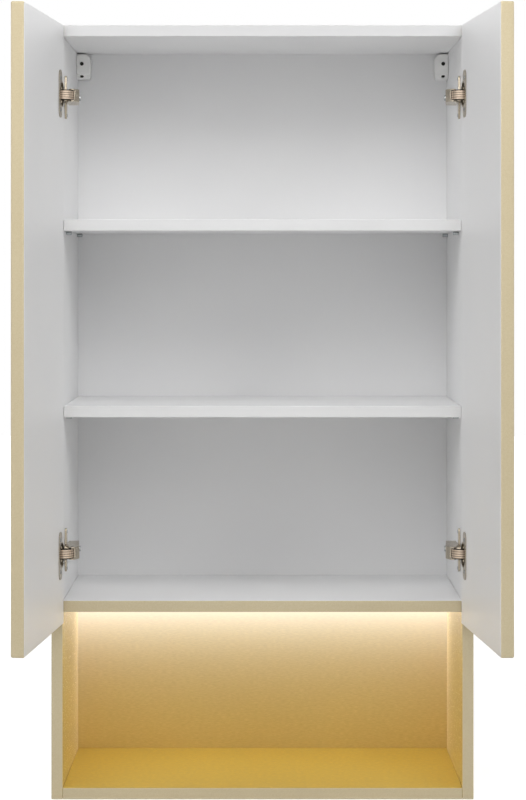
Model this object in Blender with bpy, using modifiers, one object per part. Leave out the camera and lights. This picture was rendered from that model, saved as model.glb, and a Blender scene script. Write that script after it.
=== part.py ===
# Wall cabinet: two slab doors on concealed cup hinges, two shelves, and an open niche with a light below.
# Metres, +Z up. The wall is the plane y = 0, the front looks along -Y, and z = 0 is the middle of the bottom
# panel. The doors stand open against their hinge stops.
import math

import bmesh
import bpy
from mathutils import Matrix, Vector

# Carcass
CABINET_WIDTH = 0.600
CABINET_DEPTH = 0.300
BOARD = 0.016
NICHE_HEIGHT = 0.250
LOWER_BAY_HEIGHT = 0.260
MIDDLE_BAY_HEIGHT = 0.250
UPPER_BAY_HEIGHT = 0.260
BACK_THICKNESS = 0.004
BACK_RECESS = 0.016
GROOVE_DEPTH = 0.005
BOARD_EDGE_RADIUS = 0.0006
CLEARANCE = 0.0003

# Shelves and their pins
SHELF_SETBACK = 0.009
SHELF_END_GAP = 0.0008
PIN_RADIUS = 0.0025
PIN_SHANK_RADIUS = 0.0021
PIN_PROJECTION = 0.008
PIN_HOLE_DEPTH = 0.009
PIN_FRONT_SETBACK = 0.065
PIN_BACK_SETBACK = 0.016
PIN_LEAD = 0.0005
PIN_STEPS = 12

# Doors
DOOR_THICKNESS = 0.018
DOOR_OVERLAY = 0.015
DOOR_GAP = 0.002
DOOR_MEETING_GAP = 0.004
DOOR_OVERHANG = 0.016
DOOR_EDGE_RADIUS = 0.0020
DOOR_SWING = math.radians(95.0)
OPEN_INSET = 0.002
OPEN_STANDOFF = 0.006

# Concealed hinges. Plan sizes count from the side panel's inner face and from the carcass front.
HINGE_INSET = 0.100
CUP_EDGE = 0.003
CUP_RADIUS = 0.0175
CUP_DEPTH = 0.0130
CUP_WALL = 0.0008
CUP_STEPS = 26
FLANGE_HEIGHT = 0.0012
FLANGE_RING = 0.0012
WING_OFFSET = 0.0095
WING_LENGTH = 0.067
WING_WIDTH = 0.024
WING_CORNER = 0.009
FUSE_OFFSET = 0.0001
CUP_PIN_RADIUS = 0.0010
INNER_PIN_FROM_EDGE = 0.0070
INNER_PIN_DEPTH = 0.0020
OUTER_PIN_FROM_EDGE = 0.0080
OUTER_PIN_DEPTH = 0.0066
PIVOT_CLEARANCE = 0.0002
ARM_PIN_RADIUS = 0.0012
ARM_PIN_REACH = 0.0320
MOUTH_PIN_RADIUS = 0.0011
MOUTH_PIN_IN = 0.0140
MOUTH_PIN_OUT = 0.0030
OUTER_LINK_TURN = math.radians(13.75)
INNER_LINK_WIDTH = 0.0100
INNER_LINK_BELLY = 0.0140
BELLY_THICKNESS_SHARE = 0.8
OUTER_LINK_WIDTH = 0.0124
OUTER_LINK_BELLY = 0.0150
INNER_LINK_THICKNESS = 0.0016
OUTER_LINK_THICKNESS = 0.0015
# a handle is the length and the heading, in degrees, with which a link leaves its pin
INNER_LINK_CUP_HANDLE = (0.008, 4.0)
INNER_LINK_ARM_HANDLE = (0.013, -118.0)
OUTER_LINK_CUP_HANDLE = (0.008, -50.0)
OUTER_LINK_ARM_HANDLE = (0.011, -80.0)
LINK_STEPS = 11
EYE_STEPS = 10
CUP_EYE_RADIUS = 0.0019
ARM_EYE_RADIUS = 0.0024
RIB_HEIGHT = 0.0004
RIB_WIDTH = 0.0015
RIB_SPACING = 0.0032
RIB_COUNT = 4
ARM_INSIDE_WIDTH = 0.0146
ARM_CHEEK = 0.0016
ARM_SKIN = 0.0016
ARM_LENGTH = 0.074
ARM_HEIGHT = 0.023
ARM_CREST = 0.010
ARM_REAR_HEIGHT = 0.0175
ARM_NOSE_WALL = 0.0020
ARM_FLOOR_BEND = (0.008, 0.006)
ARM_LIP_HANDLE = (0.0014, 0.0042)
ARM_CREST_HANDLE = (0.001, 0.005)
ARM_STEPS = 7
ADJUSTER_SETBACK = 0.052
ADJUSTER_HEAD_RADIUS = 0.0040
ADJUSTER_HEAD_HEIGHT = 0.0020
ADJUSTER_RADIUS = 0.0024
ADJUSTER_LENGTH = 0.0145
PLATE_SETBACK = 0.037
PLATE_WING_SPAN = 0.062
PLATE_WING_THICKNESS = 0.003
PLATE_WING_WIDTH = 0.015
PLATE_WING_END = 0.0045
PLATE_BLOCK_HEIGHT = 0.009
PLATE_BLOCK_LENGTH = 0.046
PLATE_BLOCK_SHIFT = 0.004
PLATE_BLOCK_CORNER = 0.003
CIRCLE_STEPS = 16
WELD_REACH = 0.000005

# Hangers in the upper corners
HANGER_WIDTH = 0.0206
HANGER_HEIGHT = 0.0378
HANGER_DEPTH = 0.0300
HANGER_WALL = 0.002
HANGER_ROOF = 0.0065
HANGER_TOP_GAP = 0.0024
HANGER_CHAMFER = 0.0060
HANGER_CORNER = 0.0040
HANGER_EDGE_RADIUS = 0.0005
HANGER_SLOPE_RISE = 0.0075
HANGER_SLOPE_RUN = 0.0075
SCREW_IN = 0.0078
SCREW_HEAD_RADIUS = 0.0029
SCREW_SHANK_RADIUS = 0.0020
SCREW_HEAD_LENGTH = 0.0025
SCREW_RECESS = 0.0008
SCREW_STEPS = 12
CROSS_WIDTH = 0.0009
CROSS_DEPTH = 0.0009
CROSS_REACH = 0.65
HEIGHT_SCREW_DROP = 0.0144
HEIGHT_SCREW_LENGTH = 0.022
DEPTH_SCREW_LENGTH = 0.0085
HOOK_THICKNESS = 0.002
HOOK_TOP = 0.0075
HOOK_HEIGHT = 0.022
HOOK_TONGUE = 0.012
HOOK_CLAW = 0.0045
HOOK_CLAW_DROP = 0.020
HOOK_SEAT_RISE = 0.001
HOOK_WALL_GAP = 0.002

# Light in the niche ceiling
LIGHT_SETBACK = 0.030
PROFILE_WIDTH = 0.0174
PROFILE_HEIGHT = 0.0080
PROFILE_WALL = 0.0014
PROFILE_END_GAP = 0.001
STRIP_WIDTH = 0.010
STRIP_THICKNESS = 0.0012
STRIP_END_GAP = 0.006
DIFFUSER_THICKNESS = 0.0012
DIFFUSER_CROWN = 0.0006
CABLE_BORE_RADIUS = 0.0016

# Places worked out from the sizes above
HALF_CLEAR = CABINET_WIDTH / 2 - BOARD
FRONT_Y = -CABINET_DEPTH
BACK_Y = -BACK_RECESS - BACK_THICKNESS
BASE_Z = -BOARD / 2
BOTTOM_TOP_Z = BASE_Z + BOARD
DIVIDER_Z = BOTTOM_TOP_Z + NICHE_HEIGHT
LOWER_SHELF_Z = DIVIDER_Z + BOARD + LOWER_BAY_HEIGHT
UPPER_SHELF_Z = LOWER_SHELF_Z + BOARD + MIDDLE_BAY_HEIGHT
TOP_PANEL_Z = UPPER_SHELF_Z + BOARD + UPPER_BAY_HEIGHT
TOP_Z = TOP_PANEL_Z + BOARD
DOOR_LOW_Z = DIVIDER_Z - DOOR_OVERHANG
DOOR_WIDTH = CABINET_WIDTH / 2 - BOARD + DOOR_OVERLAY - DOOR_MEETING_GAP / 2
HINGE_HEIGHTS = {"lower": DOOR_LOW_Z + HINGE_INSET, "upper": TOP_Z - HINGE_INSET}
SIDES = {"left": -1, "right": 1}
CUT_MARGIN = 0.004
# turns a flat outline upright: its x to the cabinet's depth, its y to the height, its thickness across
ACROSS = Matrix(((0, 0, 1, 0), (1, 0, 0, 0), (0, 1, 0, 0), (0, 0, 0, 1)))

# Finishes: colour, roughness, metallic
WHITE_BOARD = ((0.60, 0.60, 0.60), 0.35, 0.0)
GOLD_PAINT = ((0.50, 0.40, 0.22), 0.40, 0.3)
NICKEL = ((0.45, 0.42, 0.37), 0.30, 1.0)
WHITE_PLASTIC = ((0.62, 0.62, 0.61), 0.45, 0.0)
ZINC_STEEL = ((0.55, 0.55, 0.56), 0.35, 1.0)
ALUMINIUM = ((0.70, 0.70, 0.71), 0.35, 1.0)
CIRCUIT_BOARD = ((0.75, 0.74, 0.68), 0.50, 0.0)
MILKY_PLASTIC = ((0.90, 0.84, 0.70), 0.40, 0.0)


# Scene and objects
def clear_scene():
    for item in list(bpy.data.objects):
        bpy.data.objects.remove(item, do_unlink=True)


def new_collection(name):
    collection = bpy.data.collections.new(name)
    bpy.context.scene.collection.children.link(collection)
    return collection


def finish(item, look):
    colour, roughness, metallic = look
    material = bpy.data.materials.new(item.name)
    material.use_nodes = True
    shader = material.node_tree.nodes["Principled BSDF"]
    shader.inputs["Base Color"].default_value = (*colour, 1.0)
    shader.inputs["Roughness"].default_value = roughness
    shader.inputs["Metallic"].default_value = metallic
    item.data.materials.clear()
    item.data.materials.append(material)


def place(name, mesh, collection, matrix=None, parent=None):
    item = bpy.data.objects.new(name, mesh)
    collection.objects.link(item)
    item.parent = parent
    item.matrix_local = matrix if matrix is not None else Matrix.Identity(4)
    return item


def make_part(name, mesh, look, matrix=None, parent=None):
    item = place(name, mesh, parts, matrix, parent)
    finish(item, look)
    return item


def make_cutter(name, mesh, matrix=None, parent=None):
    item = place(name, mesh, cutters, matrix, parent)
    item.hide_render = True
    item.display_type = "WIRE"
    return item


def pivot(name, location, angle):
    item = bpy.data.objects.new(name, None)
    parts.objects.link(item)
    item.matrix_local = Matrix.Translation(location) @ Matrix.Rotation(angle, 4, "Z")
    return item


# Meshes
def box_mesh(low, high):
    low = Vector(low)
    high = Vector(high)
    mesh = bpy.data.meshes.new("box")
    shape = bmesh.new()
    spread = Matrix.Diagonal((*(high - low), 1.0))
    bmesh.ops.create_cube(shape, size=1.0, matrix=Matrix.Translation((low + high) / 2) @ spread)
    shape.to_mesh(mesh)
    shape.free()
    return mesh


def rod_mesh(radius, length, steps=CIRCLE_STEPS):
    mesh = bpy.data.meshes.new("rod")
    shape = bmesh.new()
    bmesh.ops.create_cone(shape, cap_ends=True, segments=steps, radius1=radius, radius2=radius, depth=length)
    shape.to_mesh(mesh)
    shape.free()
    return mesh


def settled(item):
    graph = bpy.context.evaluated_depsgraph_get()
    mesh = bpy.data.meshes.new_from_object(item.evaluated_get(graph))
    return mesh


def outline_mesh(outline, thickness, holes=()):
    curve = bpy.data.curves.new("outline", "CURVE")
    curve.dimensions = "2D"
    curve.fill_mode = "BOTH"
    curve.extrude = thickness / 2
    for loop in (outline, *holes):
        spline = curve.splines.new("POLY")
        spline.points.add(len(loop) - 1)
        for point, (x, y) in zip(spline.points, loop):
            point.co = (x, y, 0.0, 1.0)
        spline.use_cyclic_u = True
    item = place("outline", curve, cutters)
    mesh = settled(item)
    bpy.data.objects.remove(item)
    shape = bmesh.new()
    shape.from_mesh(mesh)
    bmesh.ops.remove_doubles(shape, verts=shape.verts, dist=0.000001)
    bmesh.ops.recalc_face_normals(shape, faces=shape.faces)
    shape.to_mesh(mesh)
    shape.free()
    return mesh


def turned_mesh(profile, steps):
    mesh = bpy.data.meshes.new("profile")
    mesh.from_pydata([(radius, 0.0, height) for radius, height in profile], [
        (index, index + 1) for index in range(len(profile) - 1)], [])
    item = place("profile", mesh, cutters)
    screw = item.modifiers.new("turn", "SCREW")
    screw.steps = steps
    screw.render_steps = steps
    screw.use_merge_vertices = True
    screw.merge_threshold = 0.00001
    result = settled(item)
    bpy.data.objects.remove(item)
    return result


def boolean(item, tool, operation):
    modifier = item.modifiers.new(operation.lower(), "BOOLEAN")
    modifier.operation = operation
    modifier.solver = "EXACT"
    modifier.object = tool


def combined_mesh(base, steps):
    # base mesh, then (operation, mesh, matrix) one after another, in the base's own frame
    item = place("combined", base, cutters)
    tools = []
    for operation, mesh, matrix in steps:
        tool = place("tool", mesh, cutters, matrix)
        boolean(item, tool, operation)
        tools.append(tool)
    bpy.context.view_layer.update()
    result = settled(item)
    for used in (item, *tools):
        bpy.data.objects.remove(used)
    return result


def round_edges(item, width, segments=2):
    item.modifiers.new("seams", "WELD").merge_threshold = WELD_REACH
    bevel = item.modifiers.new("edges", "BEVEL")
    bevel.width = width
    bevel.segments = segments
    bevel.limit_method = "ANGLE"


def smooth(item, angle=35.0):
    item.data.shade_smooth()
    item.data.set_sharp_from_angle(angle=math.radians(angle))


# Outlines
def arc(centre, radius, start, end, steps):
    points = []
    for index in range(steps):
        turn = start + (end - start) * index / (steps - 1)
        points.append(Vector(centre) + radius * Vector((math.cos(turn), math.sin(turn))))
    return points


def circle(centre, radius, steps=CIRCLE_STEPS):
    return arc(centre, radius, 0.0, math.tau * (1 - 1 / steps), steps)


def rounded_rectangle(centre, width, height, radius, steps=6):
    points = []
    for quarter, (sx, sy) in enumerate(((1, 1), (-1, 1), (-1, -1), (1, -1))):
        corner = (centre[0] + sx * (width / 2 - radius), centre[1] + sy * (height / 2 - radius))
        points += arc(corner, radius, quarter * math.pi / 2, (quarter + 1) * math.pi / 2, steps)
    return points


def bezier(start, start_handle, end_handle, end, steps):
    points = []
    for index in range(steps):
        t = index / (steps - 1)
        s = 1 - t
        near = s ** 3 * start + 3 * s * s * t * start_handle
        points.append(near + 3 * s * t * t * end_handle + t ** 3 * end)
    return points


def heading(degrees):
    return Vector((math.cos(math.radians(degrees)), math.sin(math.radians(degrees))))


def turned_by(point, angle):
    return Vector(Matrix.Rotation(angle, 2) @ point)


def sideways(path):
    normals = []
    last = len(path) - 1
    for index in range(len(path)):
        along = (path[min(index + 1, last)] - path[max(index - 1, 0)]).normalized()
        normals.append(Vector((-along.y, along.x)))
    return normals


def band_outline(path, low, high):
    # the strip between two offsets to the left of a path
    normals = sideways(path)
    near = [point + low * normal for point, normal in zip(path, normals)]
    far = [point + high * normal for point, normal in zip(path, normals)]
    return near + far[::-1]


def link_path(start, start_handle, end, end_handle):
    lead = start + start_handle[0] * heading(start_handle[1])
    tail = end + end_handle[0] * heading(end_handle[1])
    return bezier(start, lead, tail, end, LINK_STEPS)


def link_outline(path, thickness, start_radius, end_radius):
    # a curved strap with a round eye at each end
    half = thickness / 2
    normals = sideways(path)
    strap = []
    for point, normal in zip(path, normals):
        clear_start = (point - path[0]).length > math.sqrt(start_radius ** 2 - half ** 2)
        clear_end = (point - path[-1]).length > math.sqrt(end_radius ** 2 - half ** 2)
        if clear_start and clear_end:
            strap.append((point + half * normal, point - half * normal))
    left = [pair[0] for pair in strap]
    right = [pair[1] for pair in strap]
    outline = list(left)
    for centre, radius, first, final in (
            (path[-1], end_radius, left[-1], right[-1]), (path[0], start_radius, right[0], left[0])):
        start = math.atan2(*(first - centre).yx)
        end = math.atan2(*(final - centre).yx)
        if end > start:
            end -= math.tau
        outline += arc(centre, radius, start, end, EYE_STEPS)
        if centre is path[-1]:
            outline += right[::-1]
    return outline


# The hinge's four pivots, in plan: x counts inward from the side panel's face, y back from the carcass front
EDGE_CLOSED = Vector((-DOOR_OVERLAY, -DOOR_GAP))
EDGE_OPEN = Vector((OPEN_INSET, -OPEN_STANDOFF))
EDGE_PATH = EDGE_OPEN - EDGE_CLOSED
POLE = (EDGE_CLOSED + EDGE_OPEN) / 2 - Vector((-EDGE_PATH.y, EDGE_PATH.x)) / (2 * math.tan(DOOR_SWING / 2))
INNER_CUP_CLOSED = EDGE_CLOSED + Vector((INNER_PIN_FROM_EDGE, -INNER_PIN_DEPTH))
OUTER_CUP_CLOSED = EDGE_CLOSED + Vector((OUTER_PIN_FROM_EDGE, -OUTER_PIN_DEPTH))


def opened(point):
    return POLE + turned_by(point - POLE, -DOOR_SWING)


INNER_CUP_OPEN = opened(INNER_CUP_CLOSED)
OUTER_CUP_OPEN = opened(OUTER_CUP_CLOSED)
# a fixed pin keeps its distance to a door point only on the line that halves the door's turn about the pole
INNER_ARM = POLE + ARM_PIN_REACH * turned_by(INNER_CUP_CLOSED - POLE, -DOOR_SWING / 2).normalized()
OUTER_ARM = Vector((MOUTH_PIN_IN, -MOUTH_PIN_OUT))
INNER_LINK_TURN = (INNER_CUP_CLOSED - INNER_ARM).angle_signed(INNER_CUP_OPEN - INNER_ARM)


def outer_pin_track(steps=24):
    # where the outer link's arm pin goes while the door closes, with every joint in constant ratio
    points = []
    for index in range(steps + 1):
        closing = index / steps
        inner_cup = INNER_ARM + turned_by(INNER_CUP_OPEN - INNER_ARM, closing * INNER_LINK_TURN)
        outer_cup = inner_cup + turned_by(OUTER_CUP_OPEN - INNER_CUP_OPEN, closing * DOOR_SWING)
        points.append(outer_cup + turned_by(OUTER_ARM - OUTER_CUP_OPEN, -closing * OUTER_LINK_TURN))
    return points


PIN_TRACK = outer_pin_track()
MOUTH_CENTRE = Vector([(min(track) + max(track)) / 2 for track in zip(*PIN_TRACK)])
MOUTH_RADIUS = max((p - MOUTH_CENTRE).length for p in PIN_TRACK) + MOUTH_PIN_RADIUS + PIVOT_CLEARANCE
CUP_CENTRE = EDGE_CLOSED.x + CUP_EDGE + CUP_RADIUS


def mirrored(outline, side, origin=Vector((0.0, 0.0))):
    # plan outline about an origin, flipped for the right-hand side
    return [Vector((-side * (point.x - origin.x), point.y - origin.y)) for point in outline]


def plan_place(side, point, height):
    return Vector((side * (HALF_CLEAR - point.x), FRONT_Y + point.y, height))


# Carcass
def board(name, low, high, look, edge=BOARD_EDGE_RADIUS):
    item = make_part(name, box_mesh(low, high), look)
    round_edges(item, edge)
    return item


def cut_box(item, name, low, high):
    boolean(item, make_cutter(name, box_mesh(low, high)), "DIFFERENCE")


def build_carcass():
    groove_y = (BACK_Y - CLEARANCE, -BACK_RECESS + CLEARANCE)
    clear = HALF_CLEAR - CLEARANCE
    for name, side in SIDES.items():
        faces = sorted((side * HALF_CLEAR, side * CABINET_WIDTH / 2))
        panel = board(f"side_panel_{name}", (faces[0], FRONT_Y, BASE_Z), (faces[1], 0.0, TOP_Z), GOLD_PAINT)
        groove = sorted((side * (HALF_CLEAR - CUT_MARGIN), side * (HALF_CLEAR + GROOVE_DEPTH)))
        cut_box(panel, f"cut_groove_{name}", (groove[0], groove_y[0], BOTTOM_TOP_Z - GROOVE_DEPTH),
                (groove[1], groove_y[1], TOP_PANEL_Z + GROOVE_DEPTH))
        for level, z in (("lower", LOWER_SHELF_Z), ("upper", UPPER_SHELF_Z)):
            for row, y in pin_rows().items():
                drill = rod_mesh(PIN_SHANK_RADIUS + CLEARANCE, 2 * PIN_HOLE_DEPTH, PIN_STEPS)
                mouth = Matrix.Translation((side * HALF_CLEAR, y, pin_height(z)))
                mouth @= Matrix.Rotation(math.pi / 2, 4, "Y")
                boolean(panel, make_cutter(f"cut_pin_{level}_{row}_{name}", drill, mouth), "DIFFERENCE")
    top = board("top_panel", (-clear, FRONT_Y, TOP_PANEL_Z), (clear, 0.0, TOP_Z), WHITE_BOARD)
    bottom = board("bottom_panel", (-clear, FRONT_Y, BASE_Z), (clear, 0.0, BOTTOM_TOP_Z), GOLD_PAINT)
    divider_top = DIVIDER_Z + BOARD
    divider = board("divider_panel", (-clear, FRONT_Y, DIVIDER_Z), (clear, 0.0, divider_top), GOLD_PAINT)
    wide = HALF_CLEAR + CUT_MARGIN
    for panel, name, edge, inward in (
            (top, "top", TOP_PANEL_Z, 1), (bottom, "bottom", BOTTOM_TOP_Z, -1),
            (divider, "divider_over", divider_top, -1), (divider, "divider_under", DIVIDER_Z, 1)):
        reach = sorted((edge - inward * CUT_MARGIN, edge + inward * GROOVE_DEPTH))
        cut_box(panel, f"cut_groove_{name}", (-wide, groove_y[0], reach[0]), (wide, groove_y[1], reach[1]))
    cut_light_channel(divider)
    build_backs()


def build_backs():
    tuck = GROOVE_DEPTH - CLEARANCE
    reach = HALF_CLEAR + tuck
    upper = board("back_panel_upper", (-reach, BACK_Y, DIVIDER_Z + BOARD - tuck),
                  (reach, -BACK_RECESS, TOP_PANEL_Z + tuck), WHITE_BOARD)
    board("back_panel_niche", (-reach, BACK_Y, BOTTOM_TOP_Z - tuck),
          (reach, -BACK_RECESS, DIVIDER_Z + tuck), GOLD_PAINT)
    room = 2 * CLEARANCE
    for name, side in SIDES.items():
        near = side * (HALF_CLEAR - hook_in() + room)
        far = side * (HALF_CLEAR - hook_in() - HOOK_THICKNESS - room)
        low = (min(near, far), BACK_Y - CUT_MARGIN, hook_top() - HOOK_TONGUE - room)
        high = (max(near, far), -BACK_RECESS + CUT_MARGIN, hook_top() + room)
        cut_box(upper, f"cut_hook_slot_{name}", low, high)


# Shelves
def pin_rows():
    return {"front": FRONT_Y + PIN_FRONT_SETBACK, "back": BACK_Y - PIN_BACK_SETBACK}


def pin_height(shelf_z):
    return shelf_z - CLEARANCE - PIN_RADIUS


def build_shelves():
    end = HALF_CLEAR - SHELF_END_GAP
    tip = PIN_PROJECTION
    tail = CLEARANCE - PIN_HOLE_DEPTH
    pin = turned_mesh([
        (0.0, tip), (PIN_RADIUS - PIN_LEAD, tip), (PIN_RADIUS, tip - PIN_LEAD), (PIN_RADIUS, CLEARANCE),
        (PIN_SHANK_RADIUS, CLEARANCE), (PIN_SHANK_RADIUS, tail), (0.0, tail)], PIN_STEPS)
    for level, z in (("lower", LOWER_SHELF_Z), ("upper", UPPER_SHELF_Z)):
        board(f"shelf_{level}", (-end, FRONT_Y + SHELF_SETBACK, z),
              (end, BACK_Y - SHELF_END_GAP, z + BOARD), WHITE_BOARD)
        for name, side in SIDES.items():
            for row, y in pin_rows().items():
                seat = Matrix.Translation((side * HALF_CLEAR, y, pin_height(z)))
                turn = Matrix.Rotation(-side * math.pi / 2, 4, "Y")
                smooth(make_part(f"shelf_pin_{level}_{row}_{name}", pin.copy(), ZINC_STEEL, seat @ turn))


# Doors and hinges
def cup_mesh(side):
    # axis along +Z, the door's inner face at z = 0
    inside = CUP_RADIUS - CUP_WALL
    ring = CUP_RADIUS + FLANGE_RING
    floor = CUP_WALL - CUP_DEPTH
    pan = turned_mesh([
        (0.0, floor), (inside, floor), (inside, FLANGE_HEIGHT), (ring, FLANGE_HEIGHT), (ring, CLEARANCE),
        (CUP_RADIUS, CLEARANCE), (CUP_RADIUS, -CUP_DEPTH), (0.0, -CUP_DEPTH)], CUP_STEPS)
    wing_low = CLEARANCE + FUSE_OFFSET
    wing_high = FLANGE_HEIGHT - FUSE_OFFSET
    plate = rounded_rectangle((-side * WING_OFFSET, 0.0), WING_WIDTH, WING_LENGTH, WING_CORNER)
    wing = outline_mesh(plate, wing_high - wing_low)
    core = rod_mesh(CUP_RADIUS - CUP_WALL / 2, 2 * CUP_RADIUS, CUP_STEPS)
    steps = [("UNION", combined_mesh(wing, [("DIFFERENCE", core, None)]),
              Matrix.Translation((0.0, 0.0, (wing_low + wing_high) / 2)))]
    for point in (INNER_CUP_CLOSED, OUTER_CUP_CLOSED):
        spot = Vector((side * (CUP_CENTRE - point.x), 0.0, point.y - EDGE_CLOSED.y))
        seat = Matrix.Translation(spot) @ Matrix.Rotation(-math.pi / 2, 4, "X")
        pin = combined_mesh(rod_mesh(CUP_PIN_RADIUS, 2 * CUP_RADIUS), [("INTERSECT", core, seat.inverted())])
        steps.append(("UNION", pin, seat))
    return combined_mesh(pan, steps)


def inner_link_mesh(side):
    path = link_path(INNER_CUP_OPEN, INNER_LINK_CUP_HANDLE, INNER_ARM, INNER_LINK_ARM_HANDLE)
    outline = link_outline(path, INNER_LINK_THICKNESS, CUP_EYE_RADIUS, ARM_EYE_RADIUS)
    cup_hole = circle(INNER_CUP_OPEN, CUP_PIN_RADIUS + PIVOT_CLEARANCE)
    arm_hole = circle(INNER_ARM, ARM_PIN_RADIUS + PIVOT_CLEARANCE)
    outline, *holes = [mirrored(loop, side, INNER_ARM) for loop in (outline, cup_hole, arm_hole)]
    strap = outline_mesh(outline, INNER_LINK_WIDTH, holes)
    # between its eyes the link is wider and a little thinner
    half = BELLY_THICKNESS_SHARE * INNER_LINK_THICKNESS / 2
    belly = mirrored(band_outline(path[3:-3], -half, half), side, INNER_ARM)
    return combined_mesh(strap, [("UNION", outline_mesh(belly, INNER_LINK_BELLY), Matrix.Identity(4))])


def outer_link_mesh(side):
    path = link_path(OUTER_CUP_OPEN, OUTER_LINK_CUP_HANDLE, OUTER_ARM, OUTER_LINK_ARM_HANDLE)
    outline = link_outline(path, OUTER_LINK_THICKNESS, CUP_EYE_RADIUS, CUP_EYE_RADIUS)
    hole = circle(OUTER_CUP_OPEN, CUP_PIN_RADIUS + PIVOT_CLEARANCE)
    outline, hole = [mirrored(loop, side, OUTER_CUP_OPEN) for loop in (outline, hole)]
    strap = outline_mesh(outline, OUTER_LINK_WIDTH, [hole])
    pin_place = mirrored([OUTER_ARM], side, OUTER_CUP_OPEN)[0]
    pin = rod_mesh(MOUTH_PIN_RADIUS, ARM_INSIDE_WIDTH + 2 * ARM_CHEEK - 2 * CLEARANCE)
    half = BELLY_THICKNESS_SHARE * OUTER_LINK_THICKNESS / 2
    belly = mirrored(band_outline(path[2:-3], -half, half), side, OUTER_CUP_OPEN)
    steps = [("UNION", pin, Matrix.Translation((*pin_place, 0.0))),
             ("UNION", outline_mesh(belly, OUTER_LINK_BELLY), Matrix.Identity(4))]
    crown = [(near + far) / 2 for near, far in zip(path[3:-4], path[4:-3])]
    ribs = band_outline(crown, -OUTER_LINK_THICKNESS / 2 - RIB_HEIGHT, -OUTER_LINK_THICKNESS / 4)
    for index in range(RIB_COUNT):
        rib = outline_mesh(mirrored(ribs, side, OUTER_CUP_OPEN), RIB_WIDTH)
        height = (index - (RIB_COUNT - 1) / 2) * RIB_SPACING
        steps.append(("UNION", rib, Matrix.Translation((0.0, 0.0, height))))
    return combined_mesh(strap, steps)


# The arm's back slopes from its crest to its rear end, and the adjusting screw stands square on it
ARM_TOP_FRONT = Vector((ARM_HEIGHT, ARM_CREST))
ARM_TOP_REAR = Vector((ARM_REAR_HEIGHT, ARM_LENGTH))
ADJUSTER_SEAT = ARM_TOP_FRONT.lerp(ARM_TOP_REAR, (ADJUSTER_SETBACK - ARM_CREST) / (ARM_LENGTH - ARM_CREST))
ARM_SLOPE = math.atan2(ARM_HEIGHT - ARM_REAR_HEIGHT, ARM_LENGTH - ARM_CREST)


def adjuster_frame(side):
    # +Z out of the arm's back
    seat = mirrored([ADJUSTER_SEAT], side)[0]
    return Matrix.Translation((*seat, 0.0)) @ Matrix.Rotation(-side * ARM_SLOPE, 4, "Z") @ Matrix.Rotation(
        -side * math.pi / 2, 4, "Y")


def arm_mesh(side):
    nose = MOUTH_RADIUS + ARM_NOSE_WALL
    tip = MOUTH_CENTRE + Vector((nose, 0.0))
    base = PLATE_WING_THICKNESS + CLEARANCE
    lead = Vector(ARM_LIP_HANDLE)
    rise = Vector(ARM_CREST_HANDLE)
    inset = Vector((ARM_SKIN, 0.0))
    lip = tip - 0.7 * inset
    outside = bezier(tip, tip + lead, ARM_TOP_FRONT - rise, ARM_TOP_FRONT, ARM_STEPS)
    inside = bezier(lip, lip + lead, ARM_TOP_FRONT - inset - rise, ARM_TOP_FRONT - inset, ARM_STEPS)
    floor = [(base, ARM_LENGTH), (base, PLATE_SETBACK - PLATE_WING_WIDTH), ARM_FLOOR_BEND]
    outline = outside + [ARM_TOP_REAR] + [Vector(point) for point in floor]
    outline += arc(MOUTH_CENTRE, nose, math.pi, math.tau, EYE_STEPS)[:-1]
    beyond = ARM_TOP_REAR.lerp(ARM_TOP_FRONT, -0.2) - inset
    around = [(-base, beyond.y), (-base, -ARM_LENGTH), (ARM_LENGTH, -ARM_LENGTH), (ARM_LENGTH, lip.y)]
    hollow = inside + [beyond] + [Vector(point) for point in around]
    shell = outline_mesh(mirrored(outline, side), ARM_INSIDE_WIDTH + 2 * ARM_CHEEK)
    cavity = outline_mesh(mirrored(hollow, side), ARM_INSIDE_WIDTH)
    mouth_place = Matrix.Translation((*mirrored([MOUTH_CENTRE], side)[0], 0.0))
    pin_place = Matrix.Translation((*mirrored([INNER_ARM], side)[0], 0.0))
    return combined_mesh(shell, [
        ("DIFFERENCE", cavity, None),
        ("DIFFERENCE", rod_mesh(MOUTH_RADIUS, 2 * ARM_INSIDE_WIDTH), mouth_place),
        ("DIFFERENCE", rod_mesh(ADJUSTER_RADIUS + CLEARANCE, 4 * ARM_SKIN), adjuster_frame(side)),
        ("UNION", rod_mesh(ARM_PIN_RADIUS, ARM_INSIDE_WIDTH + ARM_CHEEK), pin_place)])


def screw_mesh(head_top, head_radius, neck, radius, tip):
    # axis along +Z, with a cross slot in the head
    screw = turned_mesh([
        (0.0, head_top), (head_radius - PIN_LEAD, head_top), (head_radius, head_top - PIN_LEAD),
        (head_radius, neck), (radius, neck), (radius, tip), (0.0, tip)], SCREW_STEPS)
    reach = CROSS_REACH * head_radius
    half = CROSS_WIDTH / 2
    low = head_top - CROSS_DEPTH
    high = head_top + CROSS_DEPTH
    return combined_mesh(screw, [
        ("DIFFERENCE", box_mesh((-reach, -half, low), (reach, half, high)), None),
        ("DIFFERENCE", box_mesh((-half, -reach, low), (half, reach, high)), None)])


def adjuster_mesh():
    # the arm's back at z = 0
    head_top = CLEARANCE + ADJUSTER_HEAD_HEIGHT
    return screw_mesh(head_top, ADJUSTER_HEAD_RADIUS, CLEARANCE, ADJUSTER_RADIUS, -ADJUSTER_LENGTH)


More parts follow.
